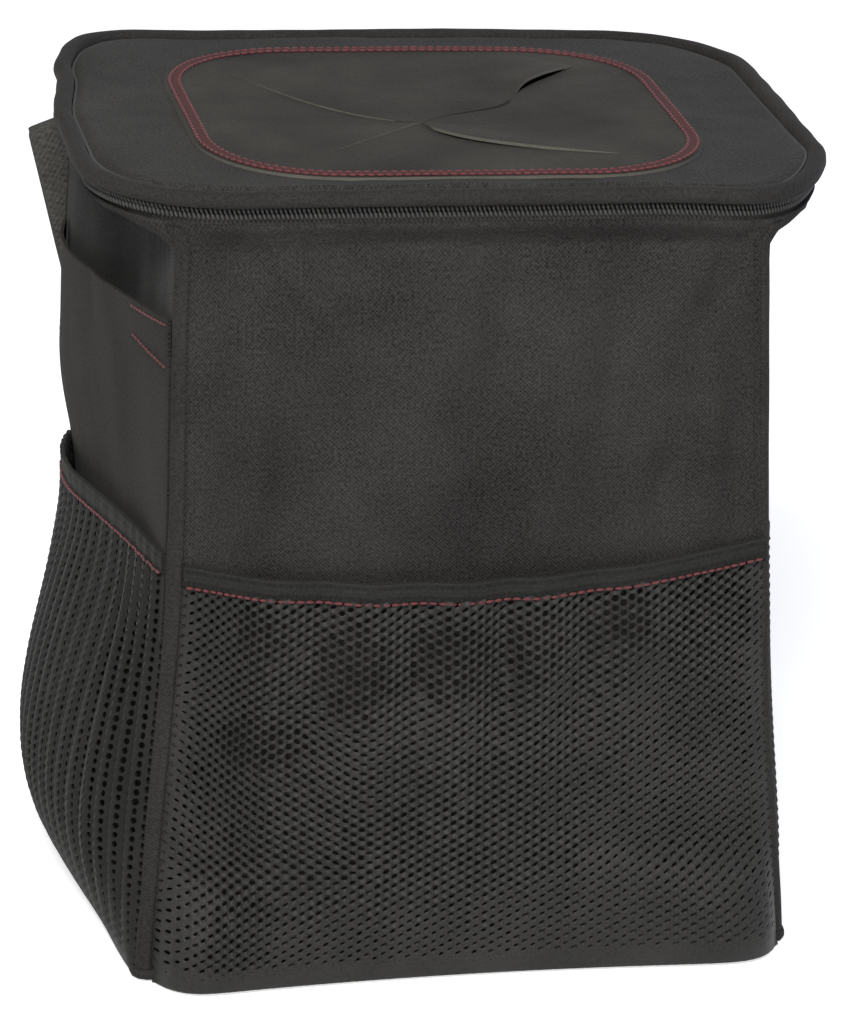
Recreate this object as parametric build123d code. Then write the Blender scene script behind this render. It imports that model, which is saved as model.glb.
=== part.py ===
from build123d import *
import math
import os

os.makedirs("parts", exist_ok=True)

# Body box, a little wider at the foot than at the shoulder, flaring to the zip rim
base_width = 216.0
base_depth = 172.0
corner_radius = 4.0
least_radius = 0.8
shoulder_in_x = 11.0
shoulder_in_y = 3.0
shoulder_width = base_width - 2 * shoulder_in_x
shoulder_depth = base_depth - 2 * shoulder_in_y
rim_out_x = 8.0
rim_out_y = 2.0
rim_width = base_width + 2 * rim_out_x
rim_depth = base_depth + 2 * rim_out_y
rim_radius = 42.0
rim_height = 248.0
rim_upright = 2.5
flare_height = rim_height - rim_upright
flare_tall = 12.0
shoulder_height = flare_height - flare_tall

# Cloth, boards and film
fabric = 1.2
board = 2.0
film = 0.8
layer_gap = 0.2
moving_gap = 0.4
board_inset = 7.0
board_top_drop = 5.0
binding_height = 1.2

# Seam strips down the corners and round the foot
seam_inset = 3.4
piping_width = 6.0
piping_height = 1.8
foot_piping_low = 0.6
foot_piping_high = 4.0

# Zip
zip_lift = 5.0
zip_height = rim_height + zip_lift
tape = 0.7
tape_parting = 1.2
coil_tall = 2.4
coil_deep = 1.9

# Lid
roll_inset = 2.0
roll_out = 4.0
roll_tall = 6.0
roll_top_round = 2.8
roll_low_round = 1.6
roll_lift = 3.2
membrane_border_x = 35.0
membrane_border_y = 14.0
membrane_width = rim_width - 2 * membrane_border_x
membrane_depth = rim_depth - 2 * membrane_border_y
membrane_radius = 44.0
membrane_thick = 1.5
membrane_shift = -6.0
membrane_lap = 7.0
trim_inset = 4.0
trim_width = 3.0
trim_thick = 0.5
slit_stop_x = 27.0
slit_stop_y = 24.0
slit_reach_x = membrane_width / 2 - slit_stop_x
slit_reach_y = membrane_depth / 2 - slit_stop_y
slit_width = 0.8

# Hinge strip along the back
hinge_end = 1.0
hinge_width = rim_width - 2 * rim_radius - 2 * hinge_end
hinge_strip = 1.1

# Pockets, with heights of the hem at the two ends and in the middle
mesh_thick = 1.4
hem_height = 8.0
hem_thick = 2.2
pocket_foot = foot_piping_high + layer_gap
front_gap = 10.0
front_belly = 12.0
front_foot = 0.8
front_hem_left = 134.0
front_hem_middle = 127.0
front_hem_right = 135.0
left_gap = 21.0
left_top_gap = 12.0
right_gap = 12.0
right_top_gap = 11.0
side_hem_front = 137.0
side_hem_middle = 132.0
side_hem_back = 121.0
side_end_inset = 4.5
slip_gap = 9.0
slip_foot = 114.0
slip_drop_front = 14.5
slip_drop_middle = 23.5
slip_drop_back = 29.5
slip_front = shoulder_height - slip_drop_front
slip_middle = shoulder_height - slip_drop_middle
slip_back = shoulder_height - slip_drop_back
slip_end_inset = 13.0

# Open weave of the front mesh, drawn larger than the thread
hole_wide = 9.0
hole_tall = 10.5
hole_step_x = 16.0
hole_step_z = 9.6
hole_rows = 11
hole_low = 15.0
hole_margin = 12.0

# Hanging strap and its slide
strap_width = 25.0
strap_thick = 1.6
strap_lean = 19.0
fold_out = 8.0
fold_back = 2.5
fold_drop = 2.5
strap_fold_x = shoulder_width / 2 + fold_out
strap_fold_y = max(rim_depth, shoulder_depth) / 2 + fold_back
strap_fold_z = shoulder_height - fold_drop
strap_fold_radius = 1.8
strap_leg_length = 104.0
strap_sewn_length = 24.0
strap_step_length = 8.0
loop_drop = 143.0
loop_clear = 4.0
loop_level = 15.0
loop_low_y = base_depth / 2 + strap_width / 2 + loop_clear
loop_low_z = strap_fold_z - loop_drop
slide_length = 14.0
slide_bar = 3.0
slide_thick = 2.6

# Slider and pull, on the right side
slider_back = 16.0
slider_y = rim_depth / 2 - rim_radius - slider_back
slider_length = 10.0
plate_thick = 1.2
plate_reach = 2.9
post_thick = 0.6
post_length = 3.0
lip_tall = 0.8
bridge_length = 6.0
bridge_wide = 1.6
bridge_bar = 0.9
pull_bar = 1.2
pull_wide = 5.6
pull_length = 20.0
pull_tip_round = 2.4
window_length = 4.4

far = 400.0


def save(shape, name):
    solids = shape.solids()
    whole = solids[0] if len(solids) == 1 else Compound(children=solids)
    export_step(whole, f"parts/{name}.step")


def outline(width, depth, radius, grow, height):
    rounding = max(radius + grow, least_radius)
    return Pos(0, 0, height) * RectangleRounded(width + 2 * grow, depth + 2 * grow, rounding)


def slab(low, high):
    return Pos(0, 0, (low + high) / 2) * Box(far, far, high - low)


def taper(foot_size, shoulder_size, height):
    return foot_size + (shoulder_size - foot_size) * height / shoulder_height


# Body of the bin as a solid block: tapering box, flared shoulder, upright rim
def body_block(grow):
    foot = outline(base_width, base_depth, corner_radius, grow, 0)
    shoulder = outline(shoulder_width, shoulder_depth, corner_radius, grow, shoulder_height)
    flare = outline(rim_width, rim_depth, rim_radius, grow, flare_height)
    upright = extrude(flare, amount=rim_height - flare_height)
    return loft([foot, shoulder]) + loft([shoulder, flare]) + upright


def wall(outer, inner, low, high):
    return (body_block(outer) - body_block(inner)) & slab(low, high)


# Upright slice of the front or back between two lines that follow the corner seams
def seam_slice(from_seam, to_seam, back):
    low = -zip_lift
    high = zip_height
    half_low = taper(base_width, shoulder_width, low) / 2 - seam_inset
    half_high = taper(base_width, shoulder_width, high) / 2 - seam_inset
    corners = [
        (half_low + from_seam, low),
        (half_low + to_seam, low),
        (half_high + to_seam, high),
        (half_high + from_seam, high),
    ]
    return extrude(Plane.XZ * Polygon(*corners, align=None), amount=-far if back else far)


def panel_zone(back):
    right_half = seam_slice(-base_width / 2, 0, back)
    return right_half + mirror(right_half, Plane.YZ)


# Outer panels
front_zone = panel_zone(False)
back_zone = panel_zone(True)
skin = wall(0, -fabric, fabric, rim_height)
sides = skin - front_zone - back_zone
right_space = Pos(far / 2, 0, 0) * Box(far, far, 2 * far)
left_space = Pos(-far / 2, 0, 0) * Box(far, far, 2 * far)
save(skin & front_zone, "front_panel")
save(skin & back_zone, "back_panel")
save(sides & left_space, "left_panel")
save(sides & right_space, "right_panel")
base_outline = outline(base_width, base_depth, corner_radius, 0, 0)
save(extrude(base_outline, amount=fabric), "base_panel")

# Seam strips
strip_out = layer_gap + piping_height
strip_wall = wall(strip_out, layer_gap, foot_piping_high + layer_gap, rim_height - layer_gap)
for back in (False, True):
    strip = strip_wall & seam_slice(-piping_width / 2, piping_width / 2, back)
    place = "back" if back else "front"
    save(strip, f"{place}_right_piping")
    save(mirror(strip, Plane.YZ), f"{place}_left_piping")
save(wall(strip_out, layer_gap, foot_piping_low, foot_piping_high), "foot_piping")

# Stiff boards behind the panels, and the liner inside them
board_outer = -fabric - layer_gap
board_inner = board_outer - board
board_low = fabric + layer_gap
board_high = shoulder_height - board_top_drop
board_wall = wall(board_outer, board_inner, board_low, board_high)
board_reach_x = shoulder_width / 2 - board_inset
board_reach_y = shoulder_depth / 2 - board_inset
along_x = Box(2 * board_reach_x, far, 2 * far)
along_y = Box(far, 2 * board_reach_y, 2 * far)
front_space = Pos(0, -far / 2, 0) * Box(far, far, 2 * far)
back_space = Pos(0, far / 2, 0) * Box(far, far, 2 * far)
save(board_wall & along_x & front_space, "front_board")
save(board_wall & along_x & back_space, "back_board")
save(board_wall & along_y & left_space, "left_board")
save(board_wall & along_y & right_space, "right_board")
floor_board = body_block(board_inner - layer_gap) & slab(board_low, board_low + board)
save(floor_board, "base_board")
liner_outer = board_inner - layer_gap
liner_floor = board_low + board + layer_gap
liner_block = body_block(liner_outer) & slab(liner_floor, flare_height)
liner_space = body_block(liner_outer - film) & slab(liner_floor + film, flare_height)
save(liner_block - liner_space, "liner")


# Flat ring or band that follows the rim's outline
def rim_band(inner, outer, low, high):
    band = extrude(outline(rim_width, rim_depth, rim_radius, outer, low), amount=high - low)
    hollow = extrude(outline(rim_width, rim_depth, rim_radius, inner, low), amount=high - low)
    return band - hollow


# Zip: tape and teeth bead on the body and on the lid, open along the hinge
hinge_gate = Pos(0, far / 2, zip_height) * Box(hinge_width + 2 * moving_gap, far, far)
tape_out = -fabric - layer_gap
tape_in = tape_out - tape
coil_in = tape_out + layer_gap
coil_out = coil_in + coil_deep
lower_edge = zip_height - tape_parting / 2
upper_edge = zip_height + tape_parting / 2
roll_low = zip_height + roll_lift
save(rim_band(tape_in, tape_out, flare_height, lower_edge) - hinge_gate, "zip_tape_lower")
save(rim_band(coil_in, coil_out, lower_edge - coil_tall, lower_edge) - hinge_gate, "zip_coil_lower")
save(rim_band(tape_in, tape_out, upper_edge, roll_low) - hinge_gate, "zip_tape_upper")
save(rim_band(coil_in, coil_out, upper_edge, upper_edge + coil_tall) - hinge_gate, "zip_coil_upper")

# Binding over the top of the liner, against the lower tape
binding_low = flare_height + layer_gap
binding = rim_band(liner_outer - film, tape_in - layer_gap, binding_low, binding_low + binding_height)
save(binding, "rim_binding")

# Lid edge roll, rounded above and below
roll_high = roll_low + roll_tall
roll = extrude(outline(rim_width, rim_depth, rim_radius, roll_out, roll_low), amount=roll_tall)
roll = fillet(roll.faces().sort_by(Axis.Z)[-1].edges(), roll_top_round)
roll = fillet(roll.faces().sort_by(Axis.Z)[0].edges(), roll_low_round)
roll_hole = extrude(outline(rim_width, rim_depth, rim_radius, -roll_inset, roll_low), amount=roll_tall)
save(roll - roll_hole, "lid_edge_roll")

# Lid layers with the throat cut through them
lining_low = roll_low + layer_gap
lid_board_low = lining_low + film + layer_gap
top_low = lid_board_low + board + layer_gap
top_high = top_low + fabric
lid_grow = -roll_inset - layer_gap


def membrane_outline(inset, height):
    patch = outline(membrane_width, membrane_depth, membrane_radius, -inset, height)
    return Pos(0, membrane_shift, 0) * patch


def lid_layer(low, thick):
    sheet = extrude(outline(rim_width, rim_depth, rim_radius, lid_grow, low), amount=thick)
    return sheet - extrude(membrane_outline(membrane_lap, low), amount=thick)


save(lid_layer(lining_low, film), "lid_lining")
save(lid_layer(lid_board_low, board), "lid_board")
save(lid_layer(top_low, fabric), "lid_top_panel")

# Membrane with its crossed slits, and the trim between the two stitch rows
membrane = extrude(membrane_outline(0, top_high), amount=membrane_thick)
slit_length = 2 * math.hypot(slit_reach_x, slit_reach_y)
slit_angle = math.degrees(math.atan2(slit_reach_y, slit_reach_x))
slit = Box(slit_length, slit_width, 4 * membrane_thick)
for turn in (slit_angle, -slit_angle):
    membrane -= Pos(0, membrane_shift, top_high) * Rot(0, 0, turn) * slit
save(membrane, "lid_membrane")
trim_low = top_high + membrane_thick
trim = extrude(membrane_outline(trim_inset, trim_low), amount=trim_thick)
trim -= extrude(membrane_outline(trim_inset + trim_width, trim_low), amount=trim_thick)
save(trim, "membrane_trim")

# Cloth hinge strip: flat on the rim, then out to the foot of the lid roll
hinge_z = roll_low - layer_gap
strip_back = rim_depth / 2 + layer_gap
strip_lip = rim_depth / 2 + roll_out
strip_top = hinge_z - moving_gap
strip_profile = Polygon(
    (strip_back, flare_height),
    (strip_back + hinge_strip, flare_height),
    (strip_back + hinge_strip, rim_height),
    (strip_lip, strip_top),
    (strip_lip - hinge_strip, strip_top),
    (strip_back, rim_height + hinge_strip),
    align=None,
)
hinge = extrude(Plane.YZ * strip_profile, amount=hinge_width / 2, both=True)
save(hinge, "hinge_strip")


# Pockets: bowed sheets whose edges lie on the wall, cut along a sagging hem line
def spot(side, along, out, height):
    if side == "front":
        return (along, -out, height)
    return (-out, along, height) if side == "left" else (out, along, height)


def bow(side, half, wall_at, gap, thick, height, full):
    inner = ThreePointArc(
        spot(side, -half, wall_at, height),
        spot(side, 0, wall_at + gap, height),
        spot(side, half, wall_at, height),
    )
    outer = ThreePointArc(
        spot(side, -half, wall_at + thick, height),
        spot(side, 0, wall_at + gap + thick, height),
        spot(side, half, wall_at + thick, height),
    )
    if full:
        return make_face([outer, Line(outer @ 0, outer @ 1)])
    ends = [Line(inner @ t, outer @ t) for t in (0, 1)]
    return make_face([inner, outer] + ends)


def bowed_sheet(side, levels, end_inset, thick, full=False):
    sections = []
    for height, gap in levels:
        width = taper(base_width, shoulder_width, height)
        depth = taper(base_depth, shoulder_depth, height)
        across, reach = (width, depth) if side == "front" else (depth, width)
        half = across / 2 - end_inset
        sections.append(bow(side, half, reach / 2 + layer_gap, gap, thick, height, full))
    return loft(sections)


def below_line(side, first, middle, last, half, lift):
    cut_plane = Plane.XZ if side == "front" else Plane.YZ
    line = ThreePointArc((-half, first + lift), (0, middle + lift), (half, last + lift))
    frame = Polyline((half, last + lift), (half, -far), (-half, -far), (-half, first + lift))
    return extrude(cut_plane * make_face([line, frame]), amount=far, both=True)


# Front mesh pocket with its elastic hem
front_half = base_width / 2
front_end = seam_inset + piping_width / 2 + layer_gap
front_top = max(front_hem_left, front_hem_right) + 2 * hem_height
front_levels = [
    (front_foot, front_belly * 0.8),
    (front_hem_middle * 0.2, front_belly),
    (front_hem_middle * 0.75, front_gap),
    (front_top, front_gap),
]
front_hem_line = (front_hem_left, front_hem_middle, front_hem_right)
under_front = below_line("front", *front_hem_line, front_half, 0)
under_front_top = below_line("front", *front_hem_line, front_half, hem_height)
front_mesh = bowed_sheet("front", front_levels, front_end, mesh_thick) & under_front
belly = bowed_sheet("front", front_levels, front_end, mesh_thick, True)
front_mesh += belly & slab(front_foot, front_foot + mesh_thick)
front_mesh -= body_block(strip_out + layer_gap) & slab(0, pocket_foot)
front_hem = (bowed_sheet("front", front_levels, front_end, hem_thick) & under_front_top) - under_front
hole_corners = [(hole_wide / 2, 0), (0, hole_tall / 2), (-hole_wide / 2, 0), (0, -hole_tall / 2)]
hole = extrude(Plane.XZ * Polygon(*hole_corners, align=None), amount=far)
holes = []
for row in range(hole_rows):
    level = hole_low + row * hole_step_z
    reach = taper(base_width, shoulder_width, level) / 2 - front_end - hole_margin
    count = int(reach / hole_step_x)
    shift = hole_step_x / 2 if row % 2 else 0.0
    for column in range(-count - 1, count + 2):
        across = column * hole_step_x + shift
        if abs(across) <= reach:
            holes.append(Pos(across, 0, level) * hole)
save(front_mesh - holes, "front_mesh_pocket")
save(front_hem, "front_pocket_hem")

# Side mesh pockets, and the slanted slip pockets above them
side_half = base_depth / 2
side_top = max(side_hem_front, side_hem_back) + 2 * hem_height
slip_levels = [
    (slip_foot, 0.6),
    ((slip_foot + slip_middle) / 2, slip_gap * 0.55),
    (shoulder_height, slip_gap),
]
side_hem_line = (side_hem_front, side_hem_middle, side_hem_back)
slip_line = (slip_front, slip_middle, slip_back)
for side, side_gap, top_gap in (("left", left_gap, left_top_gap), ("right", right_gap, right_top_gap)):
    side_levels = [
        (pocket_foot, 1.0),
        (side_hem_middle * 0.18, side_gap * 0.8),
        (side_hem_middle * 0.53, side_gap),
        (side_top, top_gap),
    ]
    under_side = below_line(side, *side_hem_line, side_half, 0)
    under_side_top = below_line(side, *side_hem_line, side_half, hem_height)
    side_mesh = bowed_sheet(side, side_levels, side_end_inset, mesh_thick) & under_side
    side_hem = (bowed_sheet(side, side_levels, side_end_inset, hem_thick) & under_side_top) - under_side
    slip_sheet = bowed_sheet(side, slip_levels, slip_end_inset, fabric)
    save(side_mesh, f"{side}_mesh_pocket")
    save(side_hem, f"{side}_mesh_hem")
    save(slip_sheet & below_line(side, *slip_line, side_half, 0), f"{side}_slip_pocket")


# Strap: sewn flat on the back, up past the corner, folded over, then a loose twisted loop
def strap_section(centre, travel, across):
    return Plane(origin=centre, x_dir=across, z_dir=travel) * Rectangle(strap_width, strap_thick)


lean = math.radians(strap_lean)
rise = Vector(-math.sin(lean), 0, math.cos(lean))
flat = Vector(math.cos(lean), 0, math.sin(lean))
fold_foot = Vector(-strap_fold_x, strap_fold_y, strap_fold_z)
sewn_lift = layer_gap + strap_thick / 2
strap_sections = []
sewn_top = strap_leg_length - strap_sewn_length
over_piping = piping_height + 3 * layer_gap
for run, lift in ((strap_leg_length, 0), (sewn_top, 0), (sewn_top - strap_step_length, over_piping)):
    spot_low = fold_foot - rise * run
    on_wall = taper(base_depth, shoulder_depth, spot_low.Z) / 2 + sewn_lift + lift
    strap_sections.append(strap_section((spot_low.X, on_wall, spot_low.Z), rise, flat))
for step in range(5):
    turn = math.radians(45 * step)
    out = Vector(0, strap_fold_radius * (1 - math.cos(turn)), 0)
    travel = rise * math.cos(turn) + Vector(0, math.sin(turn), 0)
    over = fold_foot + out + rise * (strap_fold_radius * math.sin(turn))
    strap_sections.append(strap_section(over, travel, flat))

# Loop: share of the way across, back and down from the fold to the lowest point, and its twist
loop_shape = [
    (0.10, 0.58, 0.203, 12.0),
    (0.2556, 0.83, 0.469, 38.0),
    (0.4778, 0.96, 0.727, 66.0),
    (0.7222, 1.0, 0.909, 84.0),
    (1.0, 1.0, 1.0, 90.0),
]
loop_points = []
for across, back, down, twist in loop_shape:
    loop_x = -strap_fold_x + (strap_fold_x - loop_level) * across
    loop_y = strap_fold_y + (loop_low_y - strap_fold_y) * back
    loop_points.append(Vector(loop_x, loop_y, strap_fold_z - loop_drop * down))
loop_points.append(Vector(0, loop_low_y, loop_low_z))
loop_turns = [twist for across, back, down, twist in loop_shape] + [loop_shape[-1][-1]]
for index, point in enumerate(loop_points):
    before = loop_points[index - 1] if index else fold_foot
    after = loop_points[min(index + 1, len(loop_points) - 1)]
    travel = (after - before).normalized()
    level = (flat - travel * flat.dot(travel)).normalized()
    angle = math.radians(loop_turns[index])
    across = level * math.cos(angle) + travel.cross(level) * math.sin(angle)
    strap_sections.append(strap_section(point, travel, across))
half_strap = loft(strap_sections, ruled=True)
save(half_strap + mirror(half_strap, Plane.YZ), "strap")

# Slide adjuster on the lowest part of the loop
low_point = loop_points[-1]
slide_depth = strap_width + 2 * slide_bar + 2 * layer_gap
slide_tall = strap_thick + 2 * slide_thick + 2 * layer_gap
slide_frame = Box(slide_length, slide_depth, slide_tall)
slide_frame = fillet(slide_frame.edges().filter_by(Axis.X), slide_thick / 2)
slide_slot = Box(2 * slide_length, strap_width + 2 * layer_gap, strap_thick + 2 * layer_gap)
slide_window = Box(slide_length - 2 * slide_bar, strap_width - slide_bar, 2 * slide_tall)
save(Pos(*low_point) * (slide_frame - slide_slot - slide_window), "strap_slide")

# Zip slider: two plates joined by a thin post between the tapes, and a bridge for the pull
tape_face = rim_width / 2
inner_plate_x = tape_face + tape_in - moving_gap - plate_thick / 2
outer_plate_in = tape_face + coil_out + moving_gap
outer_plate_x = outer_plate_in + plate_thick / 2
plate_front = outer_plate_in + plate_thick
slider_at = Pos(0, slider_y, zip_height)
plate = Box(plate_thick, slider_length, 2 * plate_reach)
plate = fillet(plate.edges().filter_by(Axis.X), plate_reach / 2)
post_start = inner_plate_x
post_run = outer_plate_x - inner_plate_x
post = Pos(post_start + post_run / 2, 0, 0) * Box(post_run, post_length, post_thick)
lip_z = -tape_parting / 2 - coil_tall - moving_gap - lip_tall / 2
lip_in = tape_face + tape_out + moving_gap
lip_run = plate_front - lip_in
lip = Pos(lip_in + lip_run / 2, 0, lip_z) * Box(lip_run, slider_length - plate_reach, lip_tall)
web_tall = lip_tall + moving_gap + plate_reach / 2
web_z = lip_z - lip_tall / 2 + web_tall / 2
web = Pos(outer_plate_x, 0, web_z) * Box(plate_thick, slider_length - plate_reach, web_tall)
bar_swing = pull_bar * math.sqrt(2) / 2 + moving_gap
pivot_x = plate_front + bar_swing
bridge_top = pivot_x + bar_swing + bridge_bar
bridge_run = bridge_top - plate_front
bridge = Pos(plate_front + bridge_run / 2, 0, 0) * Box(bridge_run, bridge_length, bridge_wide)
bridge_eye = Pos(pivot_x, 0, 0) * Box(2 * bar_swing, bridge_length - 2 * bridge_bar, 2 * bridge_wide)
plates = Pos(inner_plate_x, 0, 0) * plate + Pos(outer_plate_x, 0, 0) * plate
slider = plates + post + lip + web + (bridge - bridge_eye)
save(slider_at * slider, "zip_slider")

# Pull: a flat tab with a window, its bar held under the bridge
tab_run = pull_length + pull_bar
tab = Pos(pivot_x, pull_bar / 2 - tab_run / 2, 0) * Box(pull_bar, tab_run, pull_wide)
tab = fillet(tab.edges().filter_by(Axis.X).group_by(Axis.Y)[0], pull_tip_round)
window = Pos(pivot_x, -pull_bar / 2 - window_length / 2, 0) * Box(
    2 * pull_bar, window_length, bridge_wide + 2 * moving_gap
)
save(slider_at * (tab - window), "zip_pull")
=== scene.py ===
import math
import bmesh
import bpy
import numpy as np
from mathutils import Matrix, Vector, noise


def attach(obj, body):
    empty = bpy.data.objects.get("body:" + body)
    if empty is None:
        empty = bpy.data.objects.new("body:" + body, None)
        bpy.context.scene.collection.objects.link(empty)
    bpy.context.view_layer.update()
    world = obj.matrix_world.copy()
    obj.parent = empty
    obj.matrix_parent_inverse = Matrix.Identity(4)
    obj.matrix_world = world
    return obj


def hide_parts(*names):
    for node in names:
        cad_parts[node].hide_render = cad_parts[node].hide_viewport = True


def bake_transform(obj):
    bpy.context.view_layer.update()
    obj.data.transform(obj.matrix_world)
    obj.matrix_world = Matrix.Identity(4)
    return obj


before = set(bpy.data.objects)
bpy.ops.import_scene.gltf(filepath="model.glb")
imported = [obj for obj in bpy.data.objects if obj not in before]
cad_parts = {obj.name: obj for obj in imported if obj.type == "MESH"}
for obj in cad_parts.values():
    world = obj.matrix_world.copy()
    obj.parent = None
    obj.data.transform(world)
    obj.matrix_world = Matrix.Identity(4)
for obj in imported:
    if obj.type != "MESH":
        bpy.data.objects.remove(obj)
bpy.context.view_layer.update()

bpy.ops.object.select_all(action="DESELECT")
mm = 0.001
print("frame loaded")


# small number helpers, all in mm
def smooth(low, high, x):
    t = min(max((x - low) / (high - low), 0.0), 1.0)
    return t * t * (3 - 2 * t)


def hump(x, centre, width):
    return math.exp(-((x - centre) / width) ** 2)


def ripple(x, y, seed, scale):
    return noise.noise(Vector((x / scale, y / scale, seed * 7.31)))


def throughThree(low, middle, high, u):
    # parabola with these heights at u = 0, 0.5 and 1
    return low * (1 - u) * (1 - 2 * u) + 4 * middle * u * (1 - u) + high * u * (2 * u - 1)


# selection, edit mode and modifiers
def pick(*pieces):
    if bpy.context.object and bpy.context.object.mode != "OBJECT":
        bpy.ops.object.mode_set(mode="OBJECT")
    bpy.ops.object.select_all(action="DESELECT")
    for piece in pieces:
        piece.select_set(True)
    bpy.context.view_layer.objects.active = pieces[0]


def editAll():
    bpy.ops.object.mode_set(mode="EDIT")
    bpy.ops.mesh.select_all(action="SELECT")


def modify(piece, kind, **values):
    pick(piece)
    modifier = piece.modifiers.new(kind.title(), kind)
    for key, value in values.items():
        setattr(modifier, key, value)
    bpy.ops.object.modifier_apply(modifier=modifier.name)


def clean(piece, merge=0.00001):
    pick(piece)
    editAll()
    bpy.ops.mesh.remove_doubles(threshold=merge)
    bpy.ops.mesh.normals_make_consistent(inside=False)
    bpy.ops.object.mode_set(mode="OBJECT")


def thicken(piece, thick, side=-1.0, merge=0.00001):
    # gives a sheet its thickness, inward for -1 and to both sides for 0
    modify(piece, "SOLIDIFY", thickness=thick * mm, offset=side)
    clean(piece, merge)


def settle(spot):
    # how the soft bin sits: waist drawn in, rear of the left side out, lid low on the right
    x, y, z = spot.x / mm, spot.y / mm, spot.z / mm
    top = smooth(243, 252, z)
    drop = -0.019 * x * smooth(205, 250, z)
    drop -= 2.5 * smooth(50, 118, x) * smooth(44, 90, -y) * smooth(225, 252, z)
    drop -= 1.2 * smooth(10, 100, x) * smooth(38, 88, y) * top
    drop += 1.8 * smooth(60, 112, -x) * smooth(30, 88, y) * top
    push = (4.2 * smooth(251, 242, z) + 3.4 * hump(z, 130, 75)) * smooth(62, 98, -x) * smooth(25, -60, y)
    push -= 4.4 * smooth(-10, 105, z) * smooth(250, 241, z) * smooth(62, 98, x) * smooth(70, -20, y)
    rear = smooth(-20, 60, y) * smooth(91, 86.5, y) * smooth(110, 165, z) * smooth(246, 222, z)
    push -= 7.5 * smooth(60, 95, -x) * rear
    push += 6.0 * smooth(85, 118, -x) * smooth(-5, 45, y) * smooth(95, 60, y) * top
    push -= (2.8 * smooth(-44, -70, y) + 1.3 * hump(y, 66, 14)) * smooth(80, 118, x) * top
    push -= 1.6 * smooth(70, 116, x) * smooth(-88, -20, y) * smooth(95, 30, y) * smooth(255.8, 258, z)
    return spot + Vector((push, 0, drop)) * mm


def dress(piece, material, body, nodes=(), angle=50):
    # settled shape, material, shading, the body it moves with and the nodes it stands for
    for vertex in piece.data.vertices:
        vertex.co = settle(vertex.co)
    if not piece.data.materials:
        piece.data.materials.append(material)
    pick(piece)
    bpy.ops.object.shade_smooth_by_angle(angle=math.radians(angle))
    if body:
        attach(piece, body)
    if nodes:
        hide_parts(*nodes)
    return piece


def newGrid(name, nu, nv, place, size):
    # flat grid whose points go to place(u, v), with the cloth's own size in its UV
    bpy.ops.mesh.primitive_grid_add(x_subdivisions=nu, y_subdivisions=nv, size=2)
    piece = bpy.context.object
    piece.name = name
    mesh = piece.data
    flat = [((v.co.x + 1) / 2, (v.co.y + 1) / 2) for v in mesh.vertices]
    layer = mesh.uv_layers.active
    for loop in mesh.loops:
        u, v = flat[loop.vertex_index]
        layer.data[loop.index].uv = (u * size[0] * mm, v * size[1] * mm)
    for vertex, (u, v) in zip(mesh.vertices, flat):
        vertex.co = Vector(place(u, v)) * mm
    return piece


def sweep(name, stations, section, length, girth, closed=False):
    # carries a closed section along stations of (centre, out, up)
    nu = len(stations) if closed else len(stations) - 1
    nv = len(section)

    def place(u, v):
        centre, out, up = stations[round(u * nu) % len(stations)]
        a, b = section[round(v * nv) % nv]
        return centre + out * a + up * b

    piece = newGrid(name, nu, nv, place, (length, girth))
    clean(piece)
    if not closed:
        pick(piece)
        editAll()
        bpy.ops.mesh.fill_holes(sides=0)
        bpy.ops.mesh.normals_make_consistent(inside=False)
        bpy.ops.object.mode_set(mode="OBJECT")
    return piece


def roundSection(wide, tall, power=4.0, n=16):
    # soft-cornered section, wide along out and tall along up
    spots = []
    for i in range(n):
        a = 2 * math.pi * i / n
        c, s = math.cos(a), math.sin(a)
        r = (abs(c) ** power + abs(s) ** power) ** (-1 / power)
        spots.append((wide / 2 * r * c, tall / 2 * r * s))
    return spots


def pathCurve(name, spots, cyclic=False):
    data = bpy.data.curves.new(name, "CURVE")
    data.dimensions = "3D"
    data.twist_mode = "Z_UP"
    line = data.splines.new("POLY")
    line.points.add(len(spots) - 1)
    for point, spot in zip(line.points, spots):
        point.co = (spot[0] * mm, spot[1] * mm, spot[2] * mm, 1)
    line.use_cyclic_u = cyclic
    curve = bpy.data.objects.new(name, data)
    bpy.context.collection.objects.link(curve)
    return curve


def pathLength(spots, cyclic=False):
    ends = list(spots[1:]) + ([spots[0]] if cyclic else [])
    return sum((Vector(b) - Vector(a)).length for a, b in zip(spots, ends))


def along(unit, spots, step, cyclic=False):
    # repeats unit along the path and bends it to follow
    curve = pathCurve(unit.name + "Path", spots, cyclic)
    count = int(pathLength(spots, cyclic) / step)
    modify(unit, "ARRAY", count=count, use_relative_offset=False, use_constant_offset=True,
           constant_offset_displace=(pathLength(spots, cyclic) / count * mm, 0, 0))
    modify(unit, "CURVE", object=curve, deform_axis="POS_X")
    bpy.data.objects.remove(curve)
    return unit


def stitchRow(name, spots, length, gap, thick, cyclic=False, tilt=0.0):
    # one thread bead, then a row of them
    bpy.ops.mesh.primitive_uv_sphere_add(segments=7, ring_count=5, radius=1)
    bead = bpy.context.object
    bead.name = name
    editAll()
    bpy.ops.transform.rotate(value=math.pi / 2, orient_axis="Y", center_override=(0, 0, 0))
    bpy.ops.transform.resize(value=[c / 2 * mm for c in (length, thick, thick)], center_override=(0, 0, 0))
    if tilt:
        bpy.ops.transform.rotate(value=tilt, orient_axis="Z", center_override=(0, 0, 0))
    bpy.ops.transform.translate(value=((length + gap) / 2 * mm, 0, 0))
    bpy.ops.object.mode_set(mode="OBJECT")
    return along(bead, spots, length + gap, cyclic)


# shared pattern groups
def patternGroup(name, inputs, outputs):
    group = bpy.data.node_groups.new(name, "ShaderNodeTree")
    for key, value in inputs:
        group.interface.new_socket(key, in_out="INPUT", socket_type="NodeSocketFloat").default_value = value
    for key in outputs:
        group.interface.new_socket(key, in_out="OUTPUT", socket_type="NodeSocketFloat")
    return group, group.nodes.new("NodeGroupInput"), group.nodes.new("NodeGroupOutput")


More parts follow.
